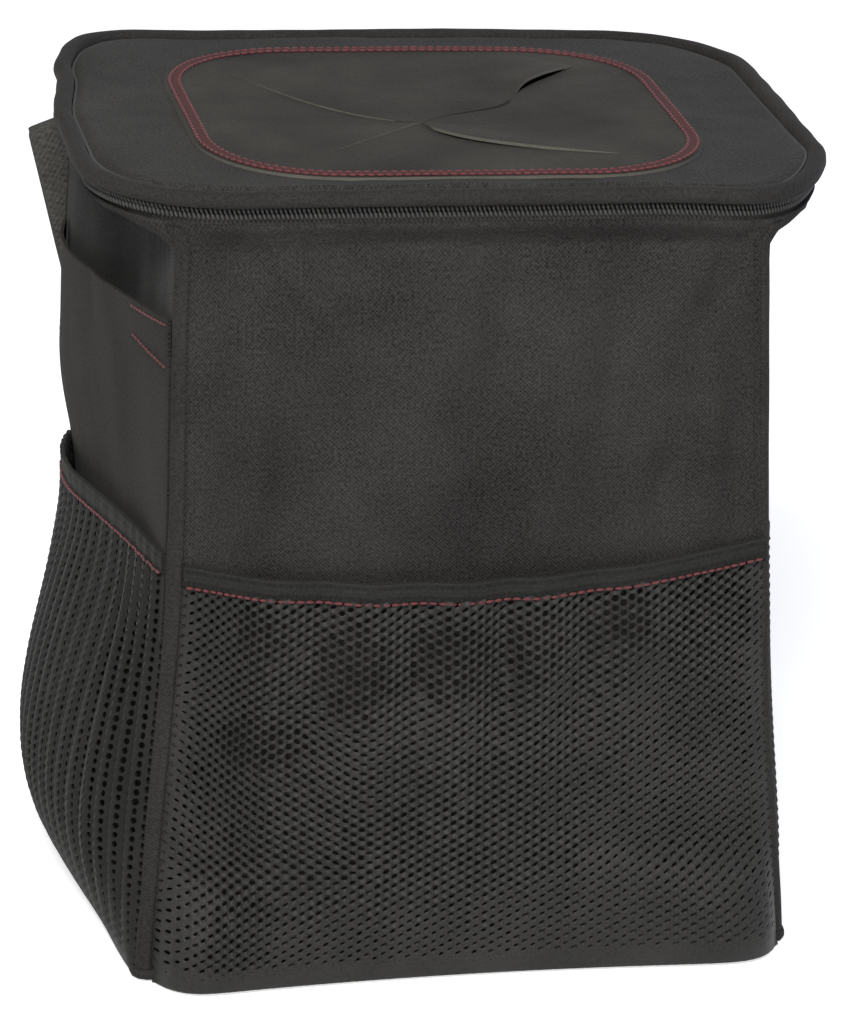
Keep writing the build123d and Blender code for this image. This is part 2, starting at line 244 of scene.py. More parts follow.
def mathNode(tree, kind, a, b=None, c=None):
    node = tree.nodes.new("ShaderNodeMath")
    node.operation = kind
    for i, value in enumerate((a, b, c)):
        if value is None:
            continue
        if isinstance(value, (int, float)):
            node.inputs[i].default_value = value
        else:
            tree.links.new(value, node.inputs[i])
    return node.outputs[0]


def noiseNode(tree, vector, scale, detail=2.0, rough=0.5):
    node = tree.nodes.new("ShaderNodeTexNoise")
    node.inputs["Scale"].default_value = scale
    node.inputs["Detail"].default_value = detail
    node.inputs["Roughness"].default_value = rough
    tree.links.new(vector, node.inputs["Vector"])
    return node.outputs[0]


def makeWeave():
    # over and under threads in the cloth's own UV, with fibre grain and worn patches
    group, given, result = patternGroup(
        "clothWeave", [("Across", 1.0), ("Up", 1.0), ("Slant", 0.0), ("Ribs", 0.0)],
        ["Height", "Shade", "Worn"])
    coords = group.nodes.new("ShaderNodeTexCoord").outputs["UV"]
    apart = group.nodes.new("ShaderNodeSeparateXYZ")
    group.links.new(coords, apart.inputs[0])
    wander = noiseNode(group, coords, 90.0)
    x = mathNode(group, "MULTIPLY", apart.outputs[0], 1000.0)
    y = mathNode(group, "MULTIPLY", apart.outputs[1], 1000.0)
    x = mathNode(group, "MULTIPLY_ADD", wander, 1.2, x)
    x = mathNode(group, "MULTIPLY_ADD", y, given.outputs["Slant"], x)
    turnX = mathNode(group, "DIVIDE", mathNode(group, "MULTIPLY", x, 2 * math.pi), given.outputs["Across"])
    turnY = mathNode(group, "DIVIDE", mathNode(group, "MULTIPLY", y, 2 * math.pi), given.outputs["Up"])
    waveX, waveY = mathNode(group, "SINE", turnX), mathNode(group, "SINE", turnY)
    over = mathNode(group, "MULTIPLY", waveX, waveY)
    plain = mathNode(group, "MULTIPLY", over, mathNode(group, "SUBTRACT", 1.0, given.outputs["Ribs"]))
    over = mathNode(group, "MULTIPLY_ADD", waveY, given.outputs["Ribs"], plain)
    thread = mathNode(group, "MULTIPLY_ADD", over, 0.5, 0.5)
    fibre = noiseNode(group, coords, 900.0, 3.0, 0.75)
    height = mathNode(group, "MULTIPLY_ADD", fibre, 0.5, mathNode(group, "MULTIPLY", thread, 0.6))
    group.links.new(height, result.inputs["Height"])
    shade = mathNode(group, "MULTIPLY_ADD", thread, 0.35, -0.5)
    shade = mathNode(group, "MULTIPLY_ADD", fibre, 1.5, shade)
    group.links.new(shade, result.inputs["Shade"])
    group.links.new(noiseNode(group, coords, 22.0, 4.0, 0.6), result.inputs["Worn"])
    return group


def makeGrain():
    # fine grain and broad cloudiness in object space, for pieces without a cloth UV
    group, given, result = patternGroup(
        "surfaceGrain", [("Fine", 2000.0), ("Broad", 30.0)], ["Height", "Worn"])
    coords = group.nodes.new("ShaderNodeTexCoord").outputs["Object"]
    for key, scale, detail in (("Height", "Fine", 3.0), ("Worn", "Broad", 4.0)):
        node = group.nodes.new("ShaderNodeTexNoise")
        node.inputs["Detail"].default_value = detail
        group.links.new(coords, node.inputs["Vector"])
        group.links.new(given.outputs[scale], node.inputs["Scale"])
        group.links.new(node.outputs[0], result.inputs[key])
    return group


clothWeave = makeWeave()
surfaceGrain = makeGrain()


def shadeMaterial(name, dark, light, rough, group, values, bump, bumpDepth=0.0003,
                  sheen=0.0, specular=0.3, metal=0.0, worn=0.35):
    material = bpy.data.materials.new(name)
    material.use_nodes = True
    tree = material.node_tree
    shader = tree.nodes["Principled BSDF"]
    shader.inputs["Roughness"].default_value = rough
    shader.inputs["Metallic"].default_value = metal
    shader.inputs["Specular IOR Level"].default_value = specular
    shader.inputs["Sheen Weight"].default_value = sheen
    shader.inputs["Sheen Roughness"].default_value = 0.5
    pattern = tree.nodes.new("ShaderNodeGroup")
    pattern.node_tree = group
    for key, value in values.items():
        pattern.inputs[key].default_value = value
    mix = tree.nodes.new("ShaderNodeMix")
    mix.data_type = "RGBA"
    mix.inputs[6].default_value = (*dark, 1)
    mix.inputs[7].default_value = (*light, 1)
    share = pattern.outputs["Shade"] if "Shade" in pattern.outputs else pattern.outputs["Height"]
    blotch = mathNode(tree, "MULTIPLY_ADD", pattern.outputs["Worn"], worn * 2, -worn)
    tree.links.new(mathNode(tree, "ADD", share, blotch), mix.inputs[0])
    mix.clamp_factor = True
    tree.links.new(mix.outputs[2], shader.inputs["Base Color"])
    bumpNode = tree.nodes.new("ShaderNodeBump")
    bumpNode.inputs["Strength"].default_value = bump
    bumpNode.inputs["Distance"].default_value = bumpDepth
    tree.links.new(pattern.outputs["Height"], bumpNode.inputs["Height"])
    tree.links.new(bumpNode.outputs[0], shader.inputs["Normal"])
    return material


bodyCloth = shadeMaterial("bodyCloth", (0.006, 0.0056, 0.0053), (0.066, 0.0625, 0.060), 0.85, clothWeave,
                          {"Across": 1.4, "Up": 1.3}, 0.7, sheen=0.03, specular=0.06)
lidCloth = shadeMaterial("lidCloth", (0.012, 0.0118, 0.011), (0.072, 0.0695, 0.065), 0.85, clothWeave,
                         {"Across": 1.4, "Up": 1.3}, 0.6, sheen=0.03, specular=0.06)
# darker copy of the body cloth for the slip pockets on the sides: painted shade for the sides
sideCloth = shadeMaterial("sideCloth", (0.0045, 0.0041, 0.0036), (0.050, 0.0462, 0.0412), 0.85, clothWeave,
                          {"Across": 1.4, "Up": 1.3}, 0.7, sheen=0.03, specular=0.06)
bindingCloth = shadeMaterial("bindingCloth", (0.012, 0.0115, 0.011), (0.052, 0.0495, 0.0465), 0.82,
                             clothWeave, {"Across": 1.2, "Up": 1.2}, 0.5, sheen=0.03, specular=0.06)
netThread = shadeMaterial("netThread", (0.006, 0.0058, 0.0056), (0.050, 0.0485, 0.046), 0.55, surfaceGrain,
                          {"Fine": 1600.0, "Broad": 40.0}, 0.4, sheen=0.02, specular=0.15)
# darker copy of the net thread for the side nets: painted shade
sideThread = shadeMaterial("sideThread", (0.004, 0.0039, 0.0037), (0.026, 0.025, 0.0235), 0.6, surfaceGrain,
                           {"Fine": 1600.0, "Broad": 40.0}, 0.4, sheen=0.02, specular=0.12)
elasticCloth = shadeMaterial("elasticCloth", (0.008, 0.008, 0.0075), (0.036, 0.0355, 0.032), 0.75,
                             clothWeave, {"Across": 0.9, "Up": 1.9, "Ribs": 0.8}, 0.9, sheen=0.02, specular=0.08)
redThread = shadeMaterial("redThread", (0.068, 0.011, 0.013), (0.165, 0.032, 0.035), 0.6, surfaceGrain,
                          {"Fine": 2600.0, "Broad": 120.0}, 0.5, sheen=0.1)
darkThread = shadeMaterial("darkThread", (0.006, 0.006, 0.006), (0.03, 0.028, 0.026), 0.7, surfaceGrain,
                           {"Fine": 2600.0, "Broad": 120.0}, 0.5)
maroonBand = shadeMaterial("maroonBand", (0.016, 0.004, 0.004), (0.075, 0.012, 0.013), 0.8, clothWeave,
                           {"Across": 0.8, "Up": 0.8}, 0.4)
membraneSheet = shadeMaterial("membraneSheet", (0.004, 0.0037, 0.003), (0.040, 0.037, 0.0305), 0.7,
                              surfaceGrain, {"Fine": 1100.0, "Broad": 26.0}, 0.35, specular=0.12, worn=0.9)
cutEdge = shadeMaterial("cutEdge", (0.07, 0.067, 0.055), (0.15, 0.143, 0.12), 0.8, surfaceGrain,
                        {"Fine": 1500.0, "Broad": 150.0}, 0.3)
zipCloth = shadeMaterial("zipCloth", (0.02, 0.0195, 0.0185), (0.085, 0.082, 0.077), 0.85, clothWeave,
                         {"Across": 0.8, "Up": 1.6, "Slant": 0.6}, 0.6, specular=0.2)
zipNylon = shadeMaterial("zipNylon", (0.022, 0.0215, 0.021), (0.060, 0.0585, 0.056), 0.55, surfaceGrain,
                         {"Fine": 1500.0, "Broad": 200.0}, 0.1, specular=0.35)
webbingCloth = shadeMaterial("webbingCloth", (0.03, 0.0295, 0.027), (0.12, 0.117, 0.108), 0.8, clothWeave,
                             {"Across": 2.2, "Up": 1.5, "Slant": 0.3}, 0.8, sheen=0.03, specular=0.06)
slidePlastic = shadeMaterial("slidePlastic", (0.010, 0.010, 0.010), (0.022, 0.022, 0.022), 0.42,
                             surfaceGrain, {"Fine": 900.0, "Broad": 60.0}, 0.15, specular=0.5)
zipMetal = shadeMaterial("zipMetal", (0.02, 0.02, 0.02), (0.06, 0.06, 0.06), 0.35, surfaceGrain,
                         {"Fine": 700.0, "Broad": 160.0}, 0.08, metal=0.6, specular=0.5)
linerFilm = shadeMaterial("linerFilm", (0.022, 0.022, 0.022), (0.048, 0.048, 0.048), 0.42, surfaceGrain,
                          {"Fine": 500.0, "Broad": 20.0}, 0.15)
boardPlain = shadeMaterial("boardPlain", (0.03, 0.03, 0.03), (0.05, 0.05, 0.05), 0.7, surfaceGrain,
                           {"Fine": 600.0, "Broad": 25.0}, 0.1)
print("materials made")


# body outline: box to shoulder, then the flare to the zip rim
bodySize = {"base": (216.0, 172.0), "shoulder": (194.0, 166.0), "rim": (232.0, 176.0), "corner": 4.0,
            "rimCorner": 42.0, "shoulderAt": 233.5, "flareStart": 240.0, "flareAt": 249.0, "rimAt": 249.6,
            "seamIn": 1.8}


def ring(width, depth, radius):
    # rounded oblong from the middle of the left side by front, right and back
    hw, hd, r = width / 2, depth / 2, max(radius, 0.5)
    spots = []

    def run(x0, y0, x1, y1, n):
        spots.extend((x0 + (x1 - x0) * i / n, y0 + (y1 - y0) * i / n) for i in range(n))

    def bend(cx, cy, start, n=16):
        for i in range(n):
            a = math.radians(start + 90 * i / n)
            spots.append((cx + r * math.cos(a), cy + r * math.sin(a)))

    run(-hw, 0, -hw, r - hd, 12)
    bend(r - hw, r - hd, 180)
    run(r - hw, -hd, hw - r, -hd, 24)
    bend(hw - r, r - hd, 270)
    run(hw, r - hd, hw, hd - r, 24)
    bend(hw - r, hd - r, 0)
    run(hw - r, hd, r - hw, hd, 24)
    bend(r - hw, hd - r, 90)
    run(-hw, hd - r, -hw, 0, 12)
    spots.append((-hw, 0.0))
    return np.array(spots)


def runAlong(spots):
    # distance along the spots at each of them
    return np.r_[0, np.linalg.norm(np.diff(spots, axis=0), axis=1).cumsum()]


def outOf(way):
    # level way out to the right of the way along
    return Vector((way.y, -way.x, 0.0)).normalized()


def taper(foot, shoulder, z):
    return foot + (shoulder - foot) * z / bodySize["shoulderAt"]


def wallRing(z, grow=0.0):
    def at(size, radius):
        return ring(size[0] + 2 * grow, size[1] + 2 * grow, radius + grow)

    t = min(z / bodySize["shoulderAt"], 1.0)
    low, high = at(bodySize["base"], bodySize["corner"]), at(bodySize["shoulder"], bodySize["corner"])
    box = low * (1 - t) + high * t
    if z <= bodySize["flareStart"]:
        return box
    f = min((z - bodySize["flareStart"]) / (bodySize["flareAt"] - bodySize["flareStart"]), 1.0) ** 1.2
    return box * (1 - f) + at(bodySize["rim"], bodySize["rimCorner"]) * f


wallRows = {}


def wallRow(z, grow=0.0):
    key = (round(z, 2), grow)
    if key not in wallRows:
        spots = wallRing(z, grow)
        run = runAlong(spots)
        front, back = spots[:, 1] < -1, spots[:, 1] > 1
        half = taper(bodySize["base"][0], bodySize["shoulder"][0], z) / 2 - bodySize["seamIn"]
        cuts = [np.interp(-half, spots[front, 0], run[front]), np.interp(half, spots[front, 0], run[front]),
                np.interp(-half, -spots[back, 0], run[back]), np.interp(half, -spots[back, 0], run[back])]
        wallRows[key] = (spots, run, cuts)
    return wallRows[key]


def ringSpot(spots, run, s):
    s = s % run[-1]
    return Vector((np.interp(s, run, spots[:, 0]), np.interp(s, run, spots[:, 1]), 0.0))


def wallSpot(z, s, out=0.0, grow=0.0):
    # point on the wall at distance s round it, and the way out
    spots, run, cuts = wallRow(z, grow)
    way = ringSpot(spots, run, s + 0.7) - ringSpot(spots, run, s - 0.7)
    outward = outOf(way)
    return ringSpot(spots, run, s) + outward * out + Vector((0, 0, z)), outward


def panelRun(panel, z):
    spots, run, cuts = wallRow(z)
    return {"front": (cuts[0], cuts[1]), "right": (cuts[1], cuts[2]), "back": (cuts[2], cuts[3]),
            "left": (cuts[3], cuts[0] + run[-1])}[panel]


def panelSpot(panel, u, z, out):
    first, last = panelRun(panel, z)
    return wallSpot(z, first + (last - first) * u, out)[0]


# cloth panels: broad bulge, soft folds and small gathers under the zip
frontFolds = [
    # across, width, from, to, depth, lean
    (-71.0, 7.0, 130.0, 225.0, 3.6, 0.0),
    (-47.0, 11.0, 148.0, 212.0, -5.0, 0.0),
    (-28.0, 7.0, 196.0, 256.0, 4.2, -85.0),
    (-82.0, 9.0, 208.0, 256.0, -3.0, 0.0),
    (-10.0, 14.0, 130.0, 236.0, 3.0, -6.0),
    (4.0, 8.0, 175.0, 254.0, -2.6, 14.0),
    (26.0, 12.0, 130.0, 240.0, 3.0, 5.0),
    (46.0, 7.0, 180.0, 254.0, -3.0, 10.0),
    (64.0, 8.0, 120.0, 190.0, -4.5, 8.0),
    (83.0, 7.0, 140.0, 218.0, 3.2, 0.0),
    (70.0, 7.0, 198.0, 256.0, -3.6, 60.0),
]
panels = {
    "front": {"width": 206.0, "bulge": 6.0, "seed": 1, "folds": frontFolds},
    "right": {"width": 176.0, "bulge": 2.6, "seed": 2,
              "folds": [(-30, 12, 140, 240, 1.0, 5), (35, 10, 120, 240, -0.7, -5)]},
    "back": {"width": 206.0, "bulge": 1.4, "seed": 3,
             "folds": [(-40, 14, 60, 240, 0.9, 5), (30, 12, 80, 240, -0.6, -6)]},
    "left": {"width": 176.0, "bulge": 2.6, "seed": 4,
             "folds": [(40, 8, 150, 244, 1.0, 4), (10, 12, 140, 240, -0.6, -5)]},
}


def panelOut(panel, u, z):
    about = panels[panel]
    x = (u - 0.5) * about["width"]
    pin = smooth(0, 0.05, u) * smooth(0, 0.05, 1 - u)
    low = 118 if panel == "front" else 0           # the front only swells above its pocket
    out = about["bulge"] * math.sin(math.pi * u) * smooth(low, low + 60, z) * smooth(250, 200, z)
    for across, width, low, high, depth, lean in about["folds"]:
        shape = smooth(low, low + 40, z) * smooth(high, high - 30, z)
        out += depth * hump(x, across + lean * (z - low) / 100, width) * shape
    out += 0.9 * ripple(x, z, about["seed"], 34) + 0.3 * ripple(x, z * 0.6, about["seed"] + 20, 13)
    gather = math.sin(x * 0.72 + 3 * ripple(x, 0, about["seed"] + 5, 25))
    out += 0.3 * gather * smooth(226, 244, z) * smooth(250, 246, z)
    if panel == "front":                      # crease just under the zip, deeper to the right
        out -= 2.4 * hump(z, 242 - 0.01 * x, 2.4) * smooth(-60, 10, x)
    return max(out, -1.2) * pin


for panel, about in panels.items():
    def place(u, v):
        z = 0.9 + (bodySize["rimAt"] - 0.9) * v
        lip = 0.5 * hump(z, 248.2, 1.1)
        return panelSpot(panel, u, z, panelOut(panel, u, z) + lip)

    cloth = newGrid(panel + "Panel", 120, 160, place, (about["width"], 250.0))
    thicken(cloth, 1.2)
    dress(cloth, bodyCloth, "bin", [panel + "_panel"])


def basePlace(u, v):
    spots, run, cuts = wallRow(0.0)
    edge = ringSpot(spots, run, u * run[-1])
    x, y = edge.x * v, edge.y * v
    return Vector((x, y, 0.02 + 0.25 * abs(ripple(x, y, 8, 22)) * (1 - v)))


base = newGrid("basePanel", 120, 24, basePlace, (700.0, 90.0))
clean(base)
thicken(base, 0.8, 1.0)
dress(base, bodyCloth, "bin", ["base_panel"])

# stiff boards between the panels and the liner
for panel in panels:
    def place(u, v):
        z = 1.6 + 226.0 * v
        return panelSpot(panel, 0.04 + 0.92 * u, z, -1.5 - 0.2 * v)

    stiff = newGrid(panel + "Board", 40, 30, place, (160.0, 226.0))
    thicken(stiff, 1.7)
    dress(stiff, boardPlain, "bin", [panel + "_board"])
print("cloth panels made")


# seam strips down the corners, a little puckered
seam = {"wide": 5.2, "out": 0.1, "thick": 1.1, "low": 4.2, "high": 248.2, "roundCorner": 1.9}
corners = (("frontLeft", "front_left"), ("frontRight", "front_right"),
           ("backRight", "back_right"), ("backLeft", "back_left"))
for index, (name, node) in enumerate(corners):
    def place(u, v):
        z = seam["low"] + (seam["high"] - seam["low"]) * v
        spots, run, cuts = wallRow(z)
        across = (u - 0.5) * seam["wide"] + 0.2 * ripple(z, 0, 30 + index, 17)
        if name == "frontRight":                  # lies further round its corner
            across += seam["roundCorner"]
        crown = seam["thick"] * (1 - (2 * abs(u - 0.5)) ** 5) ** 0.5
        pucker = 0.05 * math.sin(z * 1.9) * hump(abs(u - 0.5), 0.38, 0.12)
        pucker += 0.25 * ripple(z, u, 40 + index, 26)
        return wallSpot(z, cuts[index] + across, seam["out"] + crown + pucker)[0]

    strip = newGrid(name + "Strip", 14, 240, place, (seam["wide"], 245.0))
    thicken(strip, 0.5)
    dress(strip, bindingCloth, "bin", [node + "_piping"], 60)


for name, u in (("frontLeftSeam", 0.014), ("frontRightSeam", 0.986)):
    spots = [panelSpot("front", u, 6 + 2 * i, 0.35) for i in range(119)]
    row = stitchRow(name, spots, 2.0, 0.35, 0.7)
    dress(row, darkThread, "bin", (), 80)


def rimRing(grow):
    return ring(bodySize["rim"][0] + 2 * grow, bodySize["rim"][1] + 2 * grow, bodySize["rimCorner"] + grow)


def rimPath(grow, n, openBack=True):
    spots = rimRing(grow)
    run = runAlong(spots)
    back = spots[:, 1] > 1
    first = np.interp(73.6, -spots[back, 0], run[back])
    last = np.interp(-73.6, -spots[back, 0], run[back]) + run[-1]
    places = np.linspace(first, last, n) if openBack else np.linspace(0, run[-1], n, endpoint=False)
    found = []
    for s in places:
        way = ringSpot(spots, run, s + 0.7) - ringSpot(spots, run, s - 0.7)
        found.append((ringSpot(spots, run, s), outOf(way)))
    return found


upward = Vector((0, 0, 1))
footRow = []
spots, run, cuts = wallRow(2.3)
for i in range(360):
    spot, outward = wallSpot(2.3, run[-1] * i / 360, 1.1)
    footRow.append((spot, outward, upward))
foot = sweep("footStrip", footRow, roundSection(1.7, 3.3, 3, 12), 760.0, 10.0, True)
dress(foot, bindingCloth, "bin", ["foot_piping"])
print("seam strips made")


# pockets: shape of the bowed sheets
frontPocket = {"end": 4.5, "foot": 0.9, "levels": ((0.8, 10.2), (25.4, 12.5), (95.3, 8.6), (140.0, 5.2)),
               "hem": (134.0, 127.0, 135.0), "rightMore": 2.6}
leftPocket = {"foot": 2.0, "levels": ((2.0, 5.5), (24.0, 18.0), (70.0, 20.5), (153.0, 9.0)),
              "hem": (137.0, 132.0, 121.0), "ends": (2.7, 7.0)}
rightPocket = {"foot": 2.0, "levels": ((2.0, 1.5), (24.0, 9.6), (70.0, 12.0), (153.0, 11.0)),
               "hem": (137.0, 132.0, 121.0), "ends": (8.0, 7.0)}
slipPocket = {"foot": 114.0, "levels": ((114.0, 0.6), (166.0, 4.95), (233.5, 9.0)),
              "hem": (219.0, 210.0, 204.0), "ends": (2.7, 9.0)}
rightSlip = dict(slipPocket, ends=(9.0, 9.0))
for about in (frontPocket, leftPocket, rightPocket, slipPocket, rightSlip):
    heights, gaps = zip(*about["levels"])
    about["curve"] = np.polyfit(heights, gaps, len(heights) - 1)


def pocketSpot(side, about, u, z, out=0.0):
    bow = max(float(np.polyval(about["curve"], z)), 0.4)
    if side == "front":
        half = taper(bodySize["base"][0], bodySize["shoulder"][0], z) / 2 - about["end"]
        reach = taper(bodySize["base"][1], bodySize["shoulder"][1], z) / 2
        low = smooth(45, 5, z)                     # squarer near the floor, and fullest at its two ends
        belly = (1 - abs(2 * u - 1) ** (2 + 14 * low)) * (1 + 0.6 * low * (2 * u - 1) ** 2)
        x = half * (2 * u - 1) + about["rightMore"] * smooth(0.75, 1, u)
        return Vector((x, -(reach + 0.2 + bow * belly + out), z))
    first, last = panelRun(side, z)                  # side pockets go round the corner to the seam strip
    if side == "left":
        first, last = last, first
    way = 1 if last > first else -1
    first, last = first + way * about["ends"][0], last - way * about["ends"][1]
    belly = 1 - abs(2 * u - 1) ** 2.2 if side == "left" else (4 * u * (1 - u)) ** 1.5
    return wallSpot(z, first + (last - first) * u, 0.2 + bow * belly + out)[0]


def pocketOut(side, about, u, z):
    # way out of the bowed sheet, level with the floor
    u = min(max(u, 0.02), 0.98)
    n = outOf(pocketSpot(side, about, u + 0.01, z) - pocketSpot(side, about, u - 0.01, z))
    return -n if side == "left" else n


def netSheet(name, wide, tall, pitch, thread):
    # one six-sided mesh of the net, repeated over the sheet
    r = pitch / math.sqrt(3)
    bpy.ops.mesh.primitive_circle_add(vertices=6, radius=r * mm, fill_type="NGON")
    cell = bpy.context.object
    cell.name = name
    editAll()
    bpy.ops.transform.rotate(value=math.pi / 2, orient_axis="Z", center_override=(0, 0, 0))
    bpy.ops.mesh.inset(thickness=thread / 2 * mm)
    bpy.ops.object.vertex_group_add()           # the hole's rim, so that it can be pulled to shape later
    bpy.ops.object.vertex_group_assign()
    bpy.ops.mesh.delete(type="FACE")
    bpy.ops.object.mode_set(mode="OBJECT")
    repeats = ((int(tall / pitch) + 3, (0, pitch)), (2, (1.5 * r, pitch / 2)),
               (int(wide / (3 * r)) + 2, (3 * r, 0)))
    for count, step in repeats:
        modify(cell, "ARRAY", count=count, use_relative_offset=False, use_constant_offset=True,
               constant_offset_displace=(step[0] * mm, step[1] * mm, 0))
    pick(cell)
    editAll()
    bpy.ops.mesh.remove_doubles(threshold=0.02 * mm)
    for spot, way in (((r, 0, 0), (-1, 0, 0)), ((r + wide, 0, 0), (1, 0, 0)),
                      ((0, pitch, 0), (0, -1, 0)), ((0, pitch + tall, 0), (0, 1, 0))):
        bpy.ops.mesh.select_all(action="SELECT")
        bpy.ops.mesh.bisect(plane_co=[c * mm for c in spot], plane_no=way, clear_outer=True)
    bpy.ops.object.mode_set(mode="OBJECT")
    return cell, r, pitch


# folds hanging from the hem of the front net: across, width, depth
netFolds = [(-65, 9, 2.2), (-48, 6, -1.6), (-32, 9, 2.0), (-16, 6, -1.4), (-3, 9, 2.0), (12, 5, -1.8),
            (24, 8, 2.0), (40, 6, -1.4), (54, 9, 1.8), (74, 7, -1.0)]


def frontSag(u, z):
    x = (u - 0.5) * 200
    folds = 0.0
    for across, width, depth in netFolds:
        folds += 1.3 * depth * hump(x + 0.10 * (127 - z), across, width)
    middle = math.sin(math.pi * u)
    folds *= smooth(40, 112, z) * middle ** 0.5
    return folds + 0.7 * ripple(x, z, 51, 30) * smooth(4, 30, z) * middle


def sideSag(u, z):
    # gathers down the side nets, closer and deeper towards the ends
    s = (u - 0.5) * 160
    phase = s * 0.72 + 2.2 * ripple(s, z * 0.25, 61, 30)
    pleat = math.sin(phase) * (0.5 + 0.9 * smooth(0.15, 0.45, abs(u - 0.5)))
    pleat *= smooth(2, 40, z) * smooth(0, 0.03, u) * smooth(0, 0.03, 1 - u)
    return pleat + 0.8 * ripple(s, z, 62, 40) * math.sin(math.pi * u)


def hemLine(about, u):
    return throughThree(*about["hem"], u)


# spots of the front net that hang smooth and open: across, up, half width, half height
openSpots = [(36, 93, 19, 9), (35, 128, 10, 9), (67, 117, 14, 17),
             (97, 120, 15, 15), (126, 123, 11, 14), (158, 129, 9, 11)]


def holeShape(side, x, y):
    # slant of a hole on the flat net, and how far it opens along and across that
    loose = 0.5 + 0.5 * ripple(x, y, 63, 26)
    if side == "front":
        wide = max(hump(x, a, w) * hump(y, b, h) for a, b, w, h in openSpots)
        wide = smooth(0.2, 0.75, wide)
        slant = 0.52 - 1.04 * smooth(82, 62, x) * smooth(112, 90, y) * smooth(40, 60, y)
        tight = 0.8 * max(smooth(60, 15, y), smooth(34, 14, x))
        calm = smooth(120, 165, x) * smooth(128, 100, y)
        pull = 1.08 - 0.06 * wide - 0.35 * tight - 0.1 * calm
        pinch = 0.58 + 0.4 * wide + 0.2 * (loose - 0.5) - 0.2 * tight - 0.16 * calm
        return slant, pull, pinch
    tight = smooth(45, 15, y)
    return math.pi / 2, (0.85 + 0.25 * loose) * (1 - 0.4 * tight), (0.42 + 0.25 * loose) * (1 - 0.5 * tight)


netSize = {"pitch": 3.1, "thread": 0.85, "off": 1.2, "sunk": 0.3, "frontRidge": 0.8, "sideRidge": 0.5,
           "floorShare": 0.075}


def makeNetPocket(side, name, about, wide, tall, sag, node, thick):
    pitch = netSize["pitch"]
    net, x0, y0 = netSheet(name, wide, tall, pitch, netSize["thread"])
    r = pitch / math.sqrt(3)
    floorShare = netSize["floorShare"] if side == "front" else 0.0
    crest = netSize["frontRidge" if side == "front" else "sideRidge"]
    for vertex in net.data.vertices:
        x, y = vertex.co.x / mm, vertex.co.y / mm
        if vertex.groups:
            column = round(x / (1.5 * r))
            shift = pitch / 2 if column % 2 else 0.0
            cx, cy = column * 1.5 * r, round((y - shift) / pitch) * pitch + shift
            slant, pull, pinch = holeShape(side, cx, cy)
            pull *= 1 + 0.14 * ripple(cx, cy, 64, 2.3)
            pinch *= 1 + 0.5 * ripple(cx, cy, 65, 2.3)
            low = (cy - y0) / tall - floorShare
            if low < 0.06:
                share = 0.35 if low > 0.03 else 0.12
                pull, pinch = pull * share, pinch * share
            a, b = x - cx, y - cy
            c, s = math.cos(slant), math.sin(slant)
            lengthways, sideways = (a * c + b * s) * pull, (b * c - a * s) * pinch
            x, y = cx + lengthways * c - sideways * s, cy + lengthways * s + sideways * c
        u, v = min(max((x - x0) / wide, 0), 1), min(max((y - y0) / tall, 0), 1)
        if v < floorShare:                       # lies on the floor in front of the seam
            share = v / floorShare
            rest = pocketSpot(side, about, u, about["foot"], 0.9)
            wallY = -(bodySize["base"][1] / 2 + 2.4)
            y = min(wallY + (rest.y - wallY) * share, wallY)
            vertex.co = Vector((rest.x, y, about["foot"] - 0.3 + 0.3 * share)) * mm
            continue
        v = (v - floorShare) / (1 - floorShare)
        z = about["foot"] + (hemLine(about, u) + 1.0 - about["foot"]) * v
        give = max(sag(u, z), -0.6 - 8 * math.sin(math.pi * u))
        give *= smooth(0, 0.02, u) * smooth(0, 0.02, 1 - u)
        ridge = 0.0 if vertex.groups else crest * smooth(2, 9, z)   # threads are highest along their middle
        sewn = smooth(0, 0.025, u) * smooth(0, 0.025, 1 - u)        # the ends are caught in the seam
        spot = pocketSpot(side, about, u, z, (netSize["off"] + ridge) * sewn - netSize["sunk"])
        vertex.co = (spot + pocketOut(side, about, u, z) * give) * mm
    thicken(net, thick, 0.0, 0.000002)
    # side nets take the darker copy of the thread, painted shade
    dress(net, netThread if side == "front" else sideThread, "bin", [node], 80)


def makeHem(side, name, about, sag, node, tall, wavy):
    stations = []
    n = 200
    for i in range(n + 1):
        u = i / n
        z = hemLine(about, u) + tall / 2
        out = pocketOut(side, about, u, z)
        wave = sag(u, z) * wavy + 0.25 * ripple(i, 0, 71, 9)
        stations.append((pocketSpot(side, about, u, z, 0.2) + out * (1.1 + wave), out, upward))
    hem = sweep(name, stations, roundSection(1.9, tall, 5, 20), 210.0, 2 * tall + 4)
    dress(hem, elasticCloth, "bin", [node], 60)


def hemStitches(side, name, about, sag, wavy, drop):
    spots = []
    for i in range(161):
        u = 0.003 + 0.994 * i / 160
        z = hemLine(about, u) + drop
        out = pocketOut(side, about, u, z)
        spots.append(pocketSpot(side, about, u, z, 0.2) + out * (2.25 + sag(u, z) * wavy))
    row = stitchRow(name, spots, 2.7, 0.3, 1.0)
    dress(row, redThread, "bin", (), 80)


makeNetPocket("front", "frontNet", frontPocket, 205.0, 136.0, frontSag, "front_mesh_pocket", 0.6)
makeHem("front", "frontHem", frontPocket, frontSag, "front_pocket_hem", 7.0, 0.5)
hemStitches("front", "frontHemStitches", frontPocket, frontSag, 0.5, 0.2)
for side, about in (("left", leftPocket), ("right", rightPocket)):
    makeNetPocket(side, side + "Net", about, 168.0, 132.0, sideSag, side + "_mesh_pocket", 1.1)
    makeHem(side, side + "Hem", about, sideSag, side + "_mesh_hem", 7.0, 0.15)
    hemStitches(side, side + "HemStitches", about, sideSag, 0.15, 0.2)
print("net pockets made")


def slipSag(u, z):
    s = (u - 0.5) * 150
    folds = 0.5 * ripple(s, z, 81, 26) + 0.8 * hump(s, -20 + 0.2 * (z - 160), 12) - 0.6 * hump(s, 12, 10)
    return folds * math.sin(math.pi * u) * smooth(116, 140, z)


